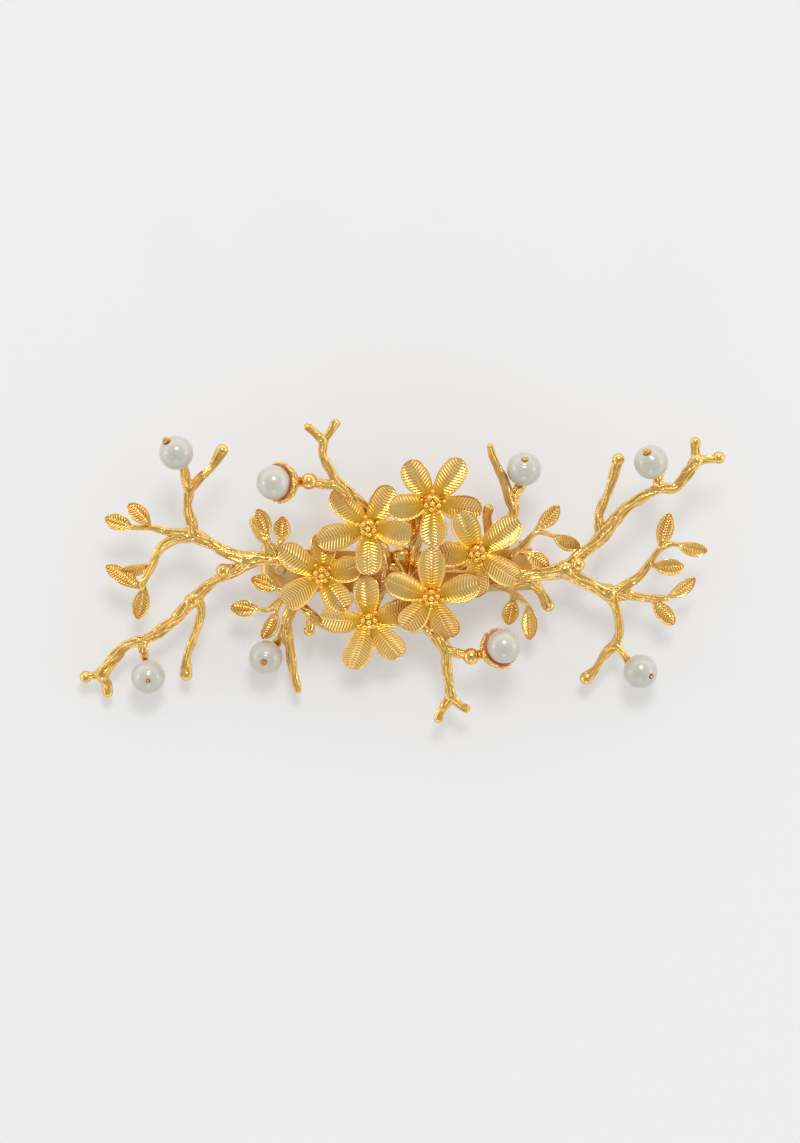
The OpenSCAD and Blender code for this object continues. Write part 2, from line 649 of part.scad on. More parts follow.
module flower(n) {
  f = FLOWERS[n - 1];
  color("gold")
    translate(f[0]) {
      for (p = f[1])
        rotate([0, 0, p[0]])
          petal(p[1], p[2]);
      translate([0, 0, -0.8])
        cylinder(r = 1.9, h = 0.9, $fn = 24);
    }
}

// Two rings of five beads and one in the middle, on a thin disc
module stamens(n) {
  f = FLOWERS[n - 1];
  color("gold")
    translate(f[0]) {
      translate([0, 0, 0.1])
        cylinder(r = 1.7, h = 0.45);
      translate([0, 0, 1])
        sphere(r = bead_r);
      for (k = [0 : 4]) {
        rotate([0, 0, f[1][0][0] + 72 * k])
          translate([1.15, 0, 0.75])
            sphere(r = bead_r);
        rotate([0, 0, f[1][0][0] + 72 * k + 36])
          translate([2, 0, 0.3])
            sphere(r = bead_r);
      }
    }
}

clip_place() clip_plate();
clip_place() hinge_pin();
clip_place() clip_arm();
clip_place() tension_bar();
clip_place() catch_base();
clip_place() catch_rivet();
clip_place() catch_tab_front();
clip_place() catch_tab_back();
centre_stem();
centre_bud();
left_branch();
right_branch();
top_bud_branch();
bottom_bud_branch();
top_bud_cup();
bottom_bud_cup();
top_twig();
bottom_twig();
left_upper_sprig();
left_lower_sprig();
right_upper_sprig();
right_lower_sprig();
flower(1);  // flower_1
flower(2);  // flower_2
flower(3);  // flower_3
flower(4);  // flower_4
flower(5);  // flower_5
flower(6);  // flower_6
stamens(1);  // stamens_1
stamens(2);  // stamens_2
stamens(3);  // stamens_3
stamens(4);  // stamens_4
stamens(5);  // stamens_5
stamens(6);  // stamens_6
pearl(1);  // pearl_1
pearl(2);  // pearl_2
pearl(3);  // pearl_3
pearl(4);  // pearl_4
pearl(5);  // pearl_5
pearl(6);  // pearl_6
pearl(7);  // pearl_7
pearl(8);  // pearl_8
pearl_pins();
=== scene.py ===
import math

import bmesh
import bpy
import numpy as np
from mathutils import Matrix, Vector, noise


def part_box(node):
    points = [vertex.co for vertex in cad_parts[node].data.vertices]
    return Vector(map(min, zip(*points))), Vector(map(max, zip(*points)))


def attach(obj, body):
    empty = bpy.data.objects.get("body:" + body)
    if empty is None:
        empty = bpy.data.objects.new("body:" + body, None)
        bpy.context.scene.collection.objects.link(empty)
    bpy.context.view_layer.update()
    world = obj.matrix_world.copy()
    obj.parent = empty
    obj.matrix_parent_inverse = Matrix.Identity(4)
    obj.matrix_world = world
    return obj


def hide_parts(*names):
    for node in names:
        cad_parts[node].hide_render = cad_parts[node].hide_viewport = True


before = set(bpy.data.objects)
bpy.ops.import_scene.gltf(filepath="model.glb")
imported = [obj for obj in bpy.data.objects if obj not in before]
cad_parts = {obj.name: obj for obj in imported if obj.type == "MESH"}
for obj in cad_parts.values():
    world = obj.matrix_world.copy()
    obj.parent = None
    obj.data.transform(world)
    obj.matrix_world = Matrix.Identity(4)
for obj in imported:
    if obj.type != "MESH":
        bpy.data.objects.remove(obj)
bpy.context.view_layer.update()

# Lengths are in millimetres, in the part's own frame, and MM turns them into metres.
MM = 0.001

# ---------------------------------------------------------------- driving dimensions

PETAL_HALF_WIDTH = 2.95
PETAL_RIB_PITCH = 0.65
LEAF_HALF_WIDTH = 1.82
LEAF_RIB_PITCH = 0.6
STRANDS = 2.5  # strands over half a turn of a twig's skin
THIN_TWIG = 0.7  # below this radius a twig's skin is nearly plain
KNOB = 1.14  # a thick twig ends in a ball this much wider than itself
CUP_DROP = 2.3  # how far a cup sits down its axis from its pearl's middle
CUP_LOBES = 6
RIM_LUMPS = 20

# Pearls: centre and the way the pin comes out
PEARLS = {
    1: ((-47.5, 25.2, 15), (-0.54, 0.75, 0.38)),
    2: ((-27, 19.5, 18.5), (-0.95, 0, 0.3)),
    3: ((25.75, 20.9, 11), (0.05, 0.73, 0.68)),
    4: ((52.5, 22.8, 13), (-0.29, 0.71, 0.64)),
    5: ((50.7, -22.7, 12), (0.62, -0.13, 0.77)),
    6: ((21.5, -15.9, 18), (0.92, 0.27, 0.27)),
    7: ((-29, -20, 10.5), (-0.09, -0.07, 0.99)),
    8: ((-54, -23.9, 12), (0.04, -0.03, 1)),
}
# The pearl's top less its centre height
PEARL_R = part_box("pearl_2")[1][2] / MM - PEARLS[2][0][2]
# Pins: radius of the head and how far its middle stands from the pearl's surface
PINS = {
    1: (0.85, 0.15),
    3: (0.72, -0.25),
    4: (0.82, 0),
    5: (0.5, -0.25),
    7: (0.62, -0.25),
    8: (0.45, -0.2),
}

# Flowers: centre, then each petal's direction in degrees, its reach and its drop
FLOWERS = {
    1: ((-17, -1, 15.5),
        ((86, 8.7, 3), (13, 8.5, 1.5), (303, 9.4, 0.5), (220, 10.7, 3.5), (149, 10.2, 3))),
    2: ((-7.2, 9.4, 16.5),
        ((134, 10.4, 3.5), (59, 9.6, 3), (350, 9.5, 0.5), (271, 10.1, -0.5), (197, 11.3, 2))),
    3: ((6.4, 14.7, 16),
        ((122, 9.9, 2.5), (55, 10.8, 2.5), (348, 10.6, 2), (273, 9.2, -1), (187, 9.2, -0.5))),
    4: ((15.9, 3.9, 16),
        ((114, 10, -1), (36, 10.8, 3), (323, 11, 3.5), (266, 10.2, 3), (182, 8.5, 0.5))),
    5: ((6.2, -5.5, 17),
        ((90, 11, -0.5), (16, 10.6, 1.5), (295, 10.4, 3.5), (230, 9.2, 1.5), (157, 10.4, 0.5))),
    6: ((-7, -10.9, 16),
        ((94, 9.5, 1.5), (17, 9.8, 2), (309, 10.8, 4), (251, 11.8, 4.5), (179, 10.2, 3.5))),
}

# Castings: twigs as points (x, y, z, radius), and leaves as (base, tip, roll in degrees)
LEFT_TWIGS = (
    ((-21.5, 1, 10, 1), (-24.5, 1.7, 11.4, 1.2), (-28, 2, 12.3, 1.3), (-33, 1.5, 12.5, 1.7)),
    ((-33, 1.5, 12.5, 1.7), (-36.5, 3, 12.5, 1.2), (-40.5, 5, 12, 1.1), (-44, 7, 12, 1.4),
     (-44.5, 9.5, 12.2, 1.1), (-45.3, 13, 12.4, 0.95), (-45, 16.5, 12.5, 0.95)),
    ((-45, 16.5, 12.5, 1), (-42, 19.8, 12, 0.85), (-40, 21.6, 11.3, 0.8), (-38, 24.8, 10.2, 1.2)),
    ((-45, 16.5, 12.5, 0.95), (-45.7, 20, 13.2, 0.95), (-46.1, 22.3, 13.8, 0.9)),
    ((-44, 7, 12, 1.3), (-49.5, 7.5, 11.5, 0.8), (-53, 8.2, 11, 0.6), (-57.3, 8.2, 10.5, 0.45)),
    ((-44, 7, 12, 1.3), (-49, 5.5, 11.6, 1), (-51.7, 3, 11.2, 0.9), (-53.2, -0.5, 10.8, 0.75),
     (-54.9, -3.6, 10.4, 0.75), (-55.2, -5, 10.2, 0.6)),
    ((-33, 1.5, 12.5, 1.7), (-35, -0.7, 12.5, 1.2), (-38, -2, 12.3, 1), (-40.7, -3.7, 12, 1),
     (-44.7, -7.5, 11.5, 1.4)),
    ((-35.5, -0.5, 12.6, 1), (-37.9, -0.5, 13.3, 1.35)),
    ((-44.7, -7.5, 11.5, 1.4), (-47.8, -11, 11.3, 1.15), (-50.8, -13.7, 11, 1.15), (-53.7, -15.6, 11, 1.05),
     (-58, -17, 10.6, 0.95), (-60.6, -19.4, 10.2, 1.2), (-64, -24, 9.5, 1.3)),
    ((-64, -24, 9.5, 1.1), (-66, -24.3, 9.3, 0.75), (-67.4, -24.6, 9.1, 1.2)),
    ((-64, -24, 9.5, 1.1), (-63, -26.2, 9.2, 1), (-62.8, -28, 9, 1.05)),
    ((-55, -16.3, 11, 1), (-55, -17.4, 10.8, 0.8), (-55, -18.2, 10.5, 1.15), (-54.9, -19, 10.2, 0.75),
     (-54.8, -19.8, 9.9, 1), (-54.6, -20.6, 9.6, 0.6), (-54.4, -22.3, 9, 0.6)),
    ((-43.8, -6, 11.6, 1.1), (-42.6, -10, 11.2, 0.9), (-44.3, -15.7, 10.3, 0.8), (-45.8, -20, 9.8, 0.85),
     (-46, -24, 9.5, 1.2)),
)
LEFT_LEAVES = (
    ((-57, 8.2, 10.5), (-63, 10, 9.5), 20),
    ((-53.2, 8.8, 11), (-58, 13.2, 10), 20),
    ((-53.5, 0, 10.8), (-59.7, -1.3, 9.5), -35),
    ((-55.5, -5, 10.2), (-63, -0.4, 9), 25),
    ((-54.5, -4.5, 10.3), (-56.3, -12, 9), 0),
)
RIGHT_TWIGS = (
    ((20.5, -1, 10.2, 1), (23, -1.5, 11.4, 1.2), (26.5, -2, 12.2, 1.3), (31, -1.2, 12.5, 1.3),
     (34.5, -0.5, 12.5, 1.8)),
    ((34.5, -0.5, 12.5, 1.7), (36.7, 1.8, 12.5, 1.3), (39.5, 4, 12.3, 1.05), (42.4, 6.8, 12, 1.4),
     (46.8, 12.2, 12, 1.1), (50.3, 14.8, 12, 1.05), (54.4, 16.9, 11.8, 1), (57.6, 17, 11.5, 1),
     (60, 19.6, 11, 1.1), (62.2, 22.7, 10.5, 1.3)),
    ((36.3, 1.2, 12.7, 1), (37.3, 0.8, 13.3, 1.3)),
    ((62.2, 22.7, 10.5, 1.1), (62, 24.8, 10.2, 0.9), (61.9, 26.5, 10, 1)),
    ((62.2, 22.7, 10.5, 1.1), (65, 22.9, 10.3, 0.75), (66.9, 23.2, 10.1, 1.2)),
    ((42.2, 6.8, 12, 1.2), (41.6, 10, 11.9, 0.95), (42, 12.5, 11.7, 0.9), (43.8, 16.5, 11.3, 0.8),
     (45.7, 22.9, 10.5, 1.2)),
    ((54.2, 16.8, 11.8, 0.95), (54.1, 18.4, 11.2, 1), (54, 19.8, 10.7, 1.2)),
    ((34.5, -0.5, 12.5, 1.7), (39.5, -3.6, 12.3, 1.2), (43.8, -5.6, 12, 1.6)),
    ((43.8, -5.6, 12, 1.4), (46.5, -4.7, 11.9, 1.05), (50.3, -2.1, 11.6, 0.9), (52.6, 0.8, 11.3, 0.7),
     (54.4, 3.4, 11.1, 0.65), (56.7, 4.6, 10.8, 0.55), (58.5, 4.5, 10.6, 0.45)),
    ((43.8, -5.6, 12, 1.4), (49.8, -6.5, 11.6, 0.85), (53, -7, 11.2, 0.8), (56.3, -7, 10.7, 0.6)),
    ((43.8, -5.6, 12, 1.5), (45.2, -8.2, 11.9, 1), (46, -11.6, 11.6, 0.9), (46.1, -14.8, 11.3, 0.9),
     (45.1, -17.2, 11, 1)),
    ((45.1, -17.2, 11, 1), (43, -19.5, 10.6, 0.9), (41.2, -22.5, 10.2, 0.8), (39.3, -24.7, 9.8, 1.3)),
    ((45.1, -17.2, 11, 0.95), (46.6, -18.8, 10.6, 0.8), (48.3, -21.2, 9.8, 0.9)),
)
RIGHT_LEAVES = (
    ((54.6, 4, 11), (56.7, 11.3, 10), 0),
    ((58.3, 4.5, 10.6), (64.8, 2.9, 9.5), 20),
    ((53, 0.1, 11.2), (59.9, -0.4, 10.2), 0),
    ((56.5, -6.9, 10.7), (62.3, -2.8, 9.6), 25),
    ((53.2, -7.3, 11), (57.9, -13, 9.8), 0),
)
TOP_BUD_TWIGS = (
    ((-6, 8, 14.8, 0.9), (-6.7, 11.5, 13.9, 1.1), (-10.6, 16, 14.6, 1.2), (-13.4, 18.4, 14.7, 1.1),
     (-15.1, 21.3, 14.5, 0.9), (-16.6, 24.4, 14.3, 0.9), (-16.6, 27.6, 14.2, 0.95)),
    ((-16.6, 27.6, 14.2, 0.9), (-18.3, 29.2, 14.1, 0.85), (-19.8, 30.5, 14, 0.9)),
    ((-16.6, 27.6, 14.2, 0.9), (-15.2, 29.3, 14.1, 0.8), (-14, 31.4, 14, 0.9)),
    ((-13.4, 18.4, 14.7, 1), (-16, 18.4, 15.2, 0.95), (-18, 18.9, 15.7, 0.9)),
    ((-19.3, 19.3, 16, 1.58), (-19.6, 19.3, 16, 1.58)),
    ((-19.4, 19.3, 16, 0.9), (-22.3, 18.9, 15.1, 0.9)),
)
BOTTOM_BUD_TWIGS = (
    ((5.4, -4.5, 15, 0.9), (4.2, -8.7, 13.9, 1.1), (4.7, -11.8, 14.1, 1.2), (7.2, -14.6, 14.5, 1.2),
     (9.2, -17.4, 14.7, 1.2), (9.4, -20.7, 14.6, 1), (10.4, -27.7, 14.2, 1)),
    ((10.4, -27.7, 14.2, 0.95), (8.6, -30.5, 14.1, 0.9), (7.8, -32.6, 14, 0.95)),
    ((10.4, -27.7, 14.2, 0.95), (12.2, -29.6, 14.1, 0.85), (13.6, -30.4, 14, 0.95)),
    ((7.8, -15.3, 14.6, 1), (10.5, -17.6, 15.1, 0.95), (13, -18.2, 15.7, 0.9)),
    ((14.3, -18.5, 16, 1.58), (14.6, -18.5, 16, 1.58)),
    ((14.5, -18.5, 16, 0.9), (17.6, -18.1, 15.6, 0.9)),
)
TOP_TWIGS = (
    ((15, 2, 12.5, 0.9), (18.5, 4, 11.6, 1), (21.5, 7, 11.3, 1.05), (23.6, 11.9, 11.4, 1.05),
     (22.5, 15.4, 11.5, 1.1), (21.2, 19.2, 11.3, 0.9), (19.4, 23, 11, 0.8), (18.6, 25.8, 10.8, 0.65)),
    ((23, 13.5, 11.4, 1), (24.3, 16, 10.3, 1), (25.4, 17.7, 9.3, 1.15)),
    ((19, 4.5, 11.5, 0.9), (18.2, 9, 11.6, 1), (18, 11, 11.8, 0.9), (18.3, 12.7, 12, 0.95)),
)
BOTTOM_TWIGS = (
    ((-16.3, -1.5, 12.2, 0.9), (-19, -4.5, 11.2, 1), (-21.5, -7, 10.9, 1.05), (-23.8, -10.2, 11, 1.1),
     (-24.6, -14, 10.8, 1.15), (-23.8, -18, 10.5, 0.95), (-23.2, -23, 10.2, 0.9), (-22.2, -27.3, 10, 0.75)),
    ((-24.6, -13.5, 10.7, 1), (-26, -16.5, 8.8, 0.95), (-28.2, -19.2, 7, 0.8)),
    ((-22, -8, 10.9, 0.9), (-19, -10.7, 11.5, 0.9), (-17.2, -12.4, 11.5, 0.9), (-15.1, -13.5, 11.4, 0.7)),
    ((-19.2, -10.8, 11.5, 0.8), (-19.7, -13.9, 12, 1.05)),
)
LEFT_UPPER_TWIGS = (
    ((-26.5, 2, 12.3, 1), (-28, 4, 12.6, 0.95), (-28.6, 5.5, 12.5, 0.9), (-30, 7, 12, 0.95),
     (-31.1, 9.6, 11.5, 1.1)),
    ((-28, 3.6, 12.6, 0.8), (-26.8, 4.6, 12.7, 0.65), (-25.5, 5.6, 12.6, 0.5)),
    ((-28.2, 4.5, 12.6, 0.7), (-28.4, 6, 12.5, 0.6), (-28.5, 6.8, 12.4, 0.5)),
)
LEFT_UPPER_LEAVES = (
    ((-28.4, 6.4, 12.4), (-30.6, 12.5, 11.8), 15),
    ((-25.4, 5.4, 12.6), (-25.3, 11, 12.2), 0),
)
LEFT_LOWER_TWIGS = (
    ((-21, -6.2, 10.9, 0.8), (-23.8, -5.8, 11.2, 0.85), (-26, -7.5, 11.3, 0.8), (-28.3, -9.4, 11, 0.6),
     (-30.2, -9.6, 10.7, 0.45)),
    ((-26, -7.5, 11.3, 0.65), (-26.5, -8.8, 11.1, 0.55), (-26.7, -10, 11, 0.45)),
    ((-23.8, -5.8, 11.2, 0.7), (-25, -5.4, 11.4, 0.55), (-26.2, -4.9, 11.4, 0.45)),
)
LEFT_LOWER_LEAVES = (
    ((-26, -5, 11.4), (-32, -2.8, 10.5), 20),
    ((-30.2, -9.6, 10.7), (-36.5, -9.4, 9.5), 20),
    ((-26.7, -9.8, 11), (-29.5, -16.2, 9.6), -20),
)
RIGHT_UPPER_TWIGS = (
    ((22.3, -0.6, 11.4, 0.9), (23.8, 2.9, 12, 0.85), (25.7, 4.7, 12.3, 0.75), (28, 7.3, 12.4, 0.6),
     (30, 7.4, 12.2, 0.5), (32, 6.7, 11.8, 0.45)),
    ((27.8, 7, 12.4, 0.6), (28.4, 8, 12.3, 0.5), (28.8, 8.8, 12.2, 0.45)),
    ((24.3, 3.4, 12.1, 0.7), (25.2, 3.6, 12.3, 0.6), (26.3, 3.1, 12.4, 0.5)),
)
RIGHT_UPPER_LEAVES = (
    ((28.5, 8.2, 12.3), (33.2, 13.2, 11.4), 15),
    ((32, 6.7, 11.8), (37.7, 3.9, 10.8), 15),
    ((26.2, 3.2, 12.5), (31, -0.2, 11.9), -15),
)
RIGHT_LOWER_TWIGS = (
    ((20, -1.8, 10.6, 0.9), (19.8, -3.9, 11.2, 0.9), (22.5, -5, 11.3, 0.8), (24.6, -6.7, 11.2, 0.6),
     (26.6, -8.3, 11, 0.45)),
    ((21.5, -4.5, 11.3, 0.8), (24.5, -3.6, 11.6, 0.9), (27.2, -3, 11.8, 1.2), (29.2, -5.3, 11.4, 0.95),
     (31.1, -8.7, 11, 1.1)),
    ((23, -5.4, 11.2, 0.6), (23.6, -7, 11, 0.5)),
)
RIGHT_LOWER_LEAVES = (
    ((23.7, -6.8, 11), (22.5, -13, 10), 0),
    ((26.7, -8.3, 11), (27.2, -16.4, 9.8), -15),
)
STEM_TWIGS = (
    ((-20, -0.5, 10.6, 1.1), (-12, 0.5, 11.7, 1.2), (0, 0.5, 12.2, 1.3), (12, 0, 11.7, 1.2),
     (20, 0.5, 10.6, 1.1)),
    ((-16, 0, 11.2, 1), (-17, -1, 14.6, 0.9)),
    ((-3.4, -0.5, 12.6, 1), (-3.2, 2.2, 13.4, 1), (-4.4, 5.5, 14.4, 1.1), (-7.1, 9.2, 15.6, 1)),
    ((1.1, 13, 12.8, 1.05), (1.2, 10, 13.2, 1.2), (1.9, 7, 13.7, 1.15), (2.7, 4, 14.2, 0.9)),
    ((3.4, 13.4, 12.8, 1.05), (3.4, 10, 13.3, 1.15), (3.3, 7, 14, 1.1), (2.7, 4, 14.4, 0.9)),
    ((1.3, -2.3, 12.4, 0.9), (2, 0.5, 14, 0.9), (2.7, 4, 14.8, 0.9), (4.1, 8.2, 14.7, 1),
     (6.3, 14.2, 15.1, 0.9)),
    ((13, 0.5, 11.7, 1), (15.7, 3.7, 15.1, 0.9)),
    ((4, 0, 12.2, 1), (6.1, -5.2, 16.1, 0.9)),
    ((-3.4, -0.5, 12.6, 1), (-3.8, -3.2, 13, 1), (-5, -6.6, 13.8, 0.9), (-7, -10.6, 15.1, 0.9)),
)

# ---------------------------------------------------------------- mesh helpers


def linked(name, data):
    """A new object in the scene that shows a mesh, a light or a camera."""
    obj = bpy.data.objects.new(name, data)
    bpy.context.collection.objects.link(obj)
    return obj


def shade_smooth(mesh):
    mesh.polygons.foreach_set("use_smooth", [True] * len(mesh.polygons))


def new_object(name, verts, faces):
    """A smooth mesh object from vertices in millimetres."""
    mesh = bpy.data.meshes.new(name)
    mesh.from_pydata([tuple(v) for v in np.asarray(verts) * MM], [], faces)
    mesh.validate()
    bm = bmesh.new()
    bm.from_mesh(mesh)
    bmesh.ops.recalc_face_normals(bm, faces=bm.faces)
    bm.to_mesh(mesh)
    bm.free()
    shade_smooth(mesh)
    return linked(name, mesh)


def join_parts(parts):
    """One vertex array and face list from several."""
    verts, faces, count = [], [], 0
    for v, f in parts:
        verts.append(np.asarray(v, dtype=float))
        faces += [tuple(i + count for i in face) for face in f]
        count += len(v)
    return np.vstack(verts), faces


def read_vectors(mesh, key):
    """One vector of every vertex, as rows."""
    flat = np.empty(len(mesh.vertices) * 3)
    mesh.vertices.foreach_get(key, flat)
    return flat.reshape(-1, 3)


def apply_modifiers(obj):
    """Replaces the mesh with the result of its modifiers."""
    graph = bpy.context.evaluated_depsgraph_get()
    mesh = bpy.data.meshes.new_from_object(obj.evaluated_get(graph))
    obj.modifiers.clear()
    old = obj.data
    obj.data = mesh
    bpy.data.meshes.remove(old)


def smooth_path(points, step):
    """A Catmull-Rom curve through points of any dimension, one sample about every step."""
    p = np.asarray(points, dtype=float)
    p = np.vstack([2 * p[0] - p[1], p, 2 * p[-1] - p[-2]])
    out = []
    for a, b, c, d in zip(p, p[1:], p[2:], p[3:]):
        n = max(2, int(np.linalg.norm((c - b)[:3]) / step))
        for t in np.arange(n) / n:
            square, cube = 2 * a - 5 * b + 4 * c - d, 3 * b - a - 3 * c + d
            out.append(0.5 * (2 * b + (c - a) * t + square * t**2 + cube * t**3))
    out.append(p[-2])
    return np.array(out)


def ring_faces(rings, size, capped=True):
    """Quads between rings of equal size, and one face over each end where it is capped."""
    faces = []
    for i in range(rings - 1):
        for j in range(size):
            k = (j + 1) % size
            faces.append((i * size + j, i * size + k, (i + 1) * size + k, (i + 1) * size + j))
    if capped:
        faces.append(tuple(range(size))[::-1])
        faces.append(tuple(range((rings - 1) * size, rings * size)))
    return faces


def tube(points, depth=0.3, seed=0, step=0.22, ring=40):
    """A cast twig: a swept tube with twisting strands of some depth and rounded ends."""
    path = smooth_path(points, step)
    centre, radius = path[:, :3], path[:, 3]
    tangent = np.gradient(centre, axis=0)
    tangent /= np.linalg.norm(tangent, axis=1)[:, None]
    side = np.cross(tangent[0], (0.3, 0.1, 1.0))
    side /= np.linalg.norm(side)
    rng = np.random.default_rng(seed)
    phase, turn = rng.uniform(0, 6.28), rng.uniform(-0.12, 0.12)
    theta = np.arange(ring) * 2 * np.pi / ring
    rows = []
    along = 0.0
    for i in range(len(path)):
        side = side - tangent[i] * np.dot(side, tangent[i])
        side /= np.linalg.norm(side)
        up = np.cross(tangent[i], side)
        if i:
            along += np.linalg.norm(centre[i] - centre[i - 1])
        wander = 0.3 * math.sin(0.45 * along + seed) + 0.18 * math.sin(1.1 * along + 2 * seed)
        strand = np.abs(np.cos(STRANDS * (theta - phase - turn * along - wander))) ** 0.45
        fine = np.abs(np.cos(3.5 * theta + 0.9 * math.sin(0.8 * along + seed))) ** 0.5
        swell = 1 + 0.06 * math.sin(1.1 * along + seed)
        r = radius[i] * swell * (1.02 + depth * (strand - 0.75) + 0.35 * depth * (fine - 0.75))
        around = np.cos(theta)[:, None] * side + np.sin(theta)[:, None] * up
        rows.append(centre[i] + r[:, None] * around)
    first, last, last_ring = centre[0], centre[-1], rows[-1]
    for lift, shrink in ((0.45, 0.9), (0.8, 0.6), (0.97, 0.24)):
        rows.append(last + tangent[-1] * radius[-1] * lift + (last_ring - last) * shrink)
    rows.insert(0, first - tangent[0] * radius[0] * 0.7 + (rows[0] - first) * 0.5)
    return np.vstack(rows), ring_faces(len(rows), ring)


def cast_lump(point, seed):
    """Height of an uneven cast skin at a point."""
    broad = noise.noise(Vector(point * 0.9) + Vector((seed, 0, 0)))
    return broad + 0.5 * noise.noise(Vector(point * 2.6))


def fuse(name, parts, voxel=0.1, smooth=1, rough=0.03, seed=0):
    """Solids fused into one casting, softened at the joins and given a slightly uneven skin."""
    verts, faces = join_parts(parts)
    obj = new_object(name, verts / MM, faces)
    remesh = obj.modifiers.new("fuse", "REMESH")
    remesh.mode = "VOXEL"
    remesh.voxel_size = voxel
    soften = obj.modifiers.new("soften", "SMOOTH")
    soften.iterations = smooth
    soften.factor = 0.5
    apply_modifiers(obj)
    mesh = obj.data
    co = read_vectors(mesh, "co")
    if rough:
        lumps = np.array([cast_lump(c, seed) for c in co])
        co = co + read_vectors(mesh, "normal") * lumps[:, None] * rough
    mesh.vertices.foreach_set("co", (co * MM).ravel())
    mesh.update()
    shade_smooth(mesh)
    return obj


def blade(length, half_width, cup, thickness, pitch, slant, rib, rim, mid, plain, rows, outline, spine):
    """A leaf or petal along +X, spoon shaped, with a round raised rim and a midrib.

    Slanting ribs of height rib stand at every pitch, and leave a plain margin at the edge.
    """
    middle, margin = np.linspace(-0.78, 0.78, 25), np.linspace(0.82, 1, 8)
    across = np.concatenate([np.linspace(-1, -0.82, 8), middle, margin])
    under = np.linspace(1, -1, 11)[1:-1]
    verts = []
    for u in np.linspace(0.003, 1, rows):
        w = max(outline(u), 0.0) * half_width
        x, base = u * length, spine(u)
        hollow = cup * min(1.0, w / half_width) ** 1.3
        inset = (1 - np.abs(across)) * w
        fade = np.clip((inset - plain) / 0.22, 0, 1)
        fade = fade * min(1.0, max(0.0, (u - 0.12) / 0.2)) * min(1, (1 - u) / 0.06)
        wire = np.abs(np.sin(np.pi * (x - slant * np.abs(across) * w) / pitch)) ** 0.7
        raised = np.exp(-(((inset - 0.19) / 0.18) ** 2))
        groove = np.exp(-(((inset - 0.45) / 0.1) ** 2))
        edge = rim * raised - rim * 0.3 * groove
        vein = mid * np.exp(-((across * w / 0.2) ** 2)) * fade.max()
        top = base + hollow * across**2 + rib * fade * (wire - 0.6) + edge + vein
        verts += [(x, v * w, z) for v, z in zip(across, top)]
        for v in under:
            z = base + hollow * v**2 - thickness * (1 - 0.35 * v**2)
            verts.append((x, v * w * 0.985, z))
    return np.array(verts), ring_faces(rows, len(across) + len(under))


def petal_outline(u):
    if u < 0.6:
        return 0.42 + 0.58 * math.sin(math.pi / 2 * (u / 0.6) ** 1.05)
    return max(0.0, 1 - ((u - 0.6) / 0.4) ** 2.6) ** 0.52


def leaf_outline(u):
    if u < 0.52:
        return 0.12 + 0.88 * math.sin(math.pi / 2 * u / 0.52) ** 0.9
    return max(0.0, 1 - ((u - 0.52) / 0.48) ** 2.1) ** 0.62


def rotation(axis, degrees):
    return np.array(Matrix.Rotation(math.radians(degrees), 3, axis))


def turned_to(direction):
    """Rotation matrix that takes +Z to a direction."""
    swing = Vector((0, 0, 1)).rotation_difference(Vector(direction).normalized())
    return np.array(swing.to_matrix())


def polar(radius, angle, z):
    return (radius * math.cos(angle), radius * math.sin(angle), z)


def sphere(centre, radius, rings=12, scale=(1, 1, 1)):
    bm = bmesh.new()
    bmesh.ops.create_uvsphere(bm, u_segments=rings * 2, v_segments=rings, radius=radius)
    bm.verts.index_update()
    verts = np.array([v.co[:] for v in bm.verts]) * scale + np.asarray(centre)
    faces = [tuple(v.index for v in f.verts) for f in bm.faces]
    bm.free()
    return verts, faces


def round_row(radius, theta, z):
    """A ring of points round Z, where radius and z may change with theta."""
    return np.column_stack([radius * np.cos(theta), radius * np.sin(theta), z])


def lathe(profile, segments):
    """A closed solid turned about Z from (radius, z) points, first and last on the axis."""
    theta = np.arange(segments) * 2 * np.pi / segments
    rows = [round_row(r, theta, np.full(segments, z)) for r, z in profile]
    return np.vstack(rows), ring_faces(len(profile), segments, capped=False)


# ---------------------------------------------------------------- materials

GRAIN = 900.0  # scale of the noise in the gold
AO_SAMPLES = 6
# Reach of the painted shade in the gold's hollows
PAINTED_SHADE_REACH = 0.0006  # metres
# Reach of the painted gold reflection on the pearls
GOLD_BOUNCE_REACH = 0.0013  # metres
SKIN_DEPTH = 0.0001  # metres
HUB_EDGE, PETAL_TONE_START = 2.6 * MM, 7 * MM
COAT_IOR = 1.6


def fill(node, sockets):
    """Sets a node's unlinked sockets."""
    for key, value in sockets.items():
        node.inputs[key].default_value = value


def add(nodes, kind, sockets=None, **settings):
    """A new node with its settings and socket values."""
    node = nodes.new(kind)
    for key, value in settings.items():
        setattr(node, key, value)
    fill(node, sockets or {})
    return node


def ramp(nodes, *stops):
    """A colour ramp between two (position, colour) stops."""
    node = nodes.new("ShaderNodeValToRGB")
    for i, (position, colour) in enumerate(stops):
        node.color_ramp.elements[i].position = position
        node.color_ramp.elements[i].color = (*colour, 1)
    return node


def new_material(name):
    """A material with only a shader, and what is needed to add to it."""
    m = bpy.data.materials.new(name)
    m.use_nodes = True
    nodes, link = m.node_tree.nodes, m.node_tree.links.new
    nodes.clear()
    out = add(nodes, "ShaderNodeOutputMaterial")
    shader = add(nodes, "ShaderNodeBsdfPrincipled")
    link(shader.outputs[0], out.inputs[0])
    return m, nodes, link, shader


